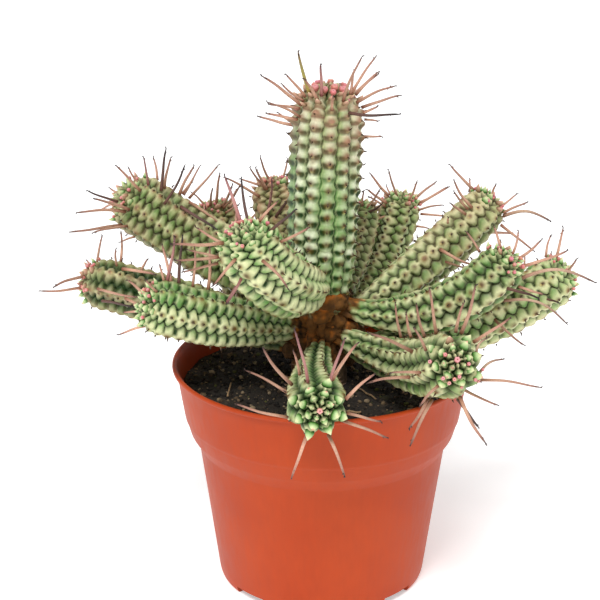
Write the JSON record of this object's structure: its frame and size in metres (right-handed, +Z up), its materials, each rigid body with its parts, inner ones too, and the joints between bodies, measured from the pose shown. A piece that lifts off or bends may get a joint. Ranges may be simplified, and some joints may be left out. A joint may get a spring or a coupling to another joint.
{
  "type": "potted succulent plant",
  "caption": "Potted corn cob euphorbia: an upright ribbed column ringed by curved ribbed offset stems with dried flower-stalk spines, in soil in a round terracotta-coloured nursery pot.",
  "frame": {"origin": "centre of the pot's flat underside, on the surface the pot stands on", "axes": "+Z up, -Y towards the front, +X to the right as seen from the front"},
  "size_m": [0.2295, 0.1733, 0.2374],
  "materials": {
    "pot": "satin moulded terracotta-coloured plastic",
    "soil": "rough dark peat compost",
    "stem": "waxy variegated cream and green skin, brown cork at the base",
    "spine": "dry matt pinkish tan with dark tips",
    "bud": "soft satin pink"
  },
  "bodies": {
    "root": {"bud_front_1": "bud", "bud_front_right_1": "bud", "bud_main_1": "bud", "bud_main_2": "bud", "bud_main_3": "bud", "main_stem": "stem", "pot": "pot", "soil": "soil", "spine_back_1": "spine", "spine_back_2": "spine", "spine_back_left_1": "spine", "spine_back_left_2": "spine", "spine_back_right_1": "spine", "spine_back_right_2": "spine", "spine_front_1": "spine", "spine_front_2": "spine", "spine_front_3": "spine", "spine_front_left_1": "spine", "spine_front_left_2": "spine", "spine_front_left_3": "spine", "spine_front_right_1": "spine", "spine_front_right_2": "spine", "spine_front_right_3": "spine", "spine_left_back_1": "spine", "spine_left_back_2": "spine", "spine_left_front_1": "spine", "spine_left_front_2": "spine", "spine_left_front_3": "spine", "spine_left_high_1": "spine", "spine_left_high_2": "spine", "spine_left_high_3": "spine", "spine_left_low_1": "spine", "spine_left_low_2": "spine", "spine_main_1": "spine", "spine_main_2": "spine", "spine_main_3": "spine", "spine_main_4": "spine", "spine_main_5": "spine", "spine_right_high_1": "spine", "spine_right_high_2": "spine", "spine_right_high_3": "spine", "spine_right_low_1": "spine", "spine_right_low_2": "spine", "spine_right_mid_1": "spine", "spine_right_mid_2": "spine", "spine_right_mid_3": "spine", "stem_back": "stem", "stem_back_left": "stem", "stem_back_right": "stem", "stem_front": "stem", "stem_front_left": "stem", "stem_front_right": "stem", "stem_left_back": "stem", "stem_left_front": "stem", "stem_left_high": "stem", "stem_left_low": "stem", "stem_right_high": "stem", "stem_right_low": "stem", "stem_right_mid": "stem"}
  },
  "joints": []
}
